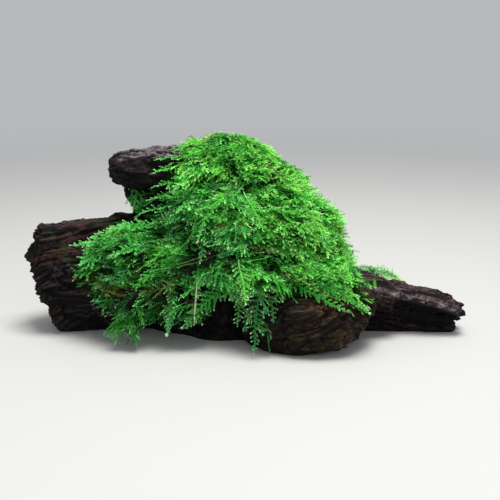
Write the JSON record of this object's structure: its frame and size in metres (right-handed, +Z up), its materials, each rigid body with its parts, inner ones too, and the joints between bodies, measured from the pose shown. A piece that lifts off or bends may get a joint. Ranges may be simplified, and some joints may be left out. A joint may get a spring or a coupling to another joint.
{
  "type": "aquarium moss on driftwood",
  "caption": "Gnarled piece of dark aquarium driftwood grown over with bright green trailing moss, flat underneath so that it stands on a tank floor.",
  "frame": {"origin": "on the sawn flat underside of the trunk, where the piece rests", "axes": "+X to the right along the longest extent, +Y away from the front, +Z up"},
  "size_m": [0.2197, 0.0888, 0.0966],
  "materials": {
    "driftwood": "wet, dark, rough grain with pale worn ridges",
    "moss": "soft leafy shoots with pale tips"
  },
  "bodies": {
    "root": {"driftwood_trunk": "driftwood", "driftwood_upper_stub": "driftwood", "driftwood_left_root": "driftwood", "driftwood_front_burl": "driftwood", "driftwood_right_arm": "driftwood", "moss_crown": "moss", "moss_right_shoulder": "moss", "moss_front_face": "moss", "moss_left_cushion": "moss", "moss_front_skirt": "moss", "moss_front_tail": "moss", "moss_left_trail": "moss", "moss_back_drape": "moss", "moss_arm_tuft": "moss"}
  },
  "joints": []
}
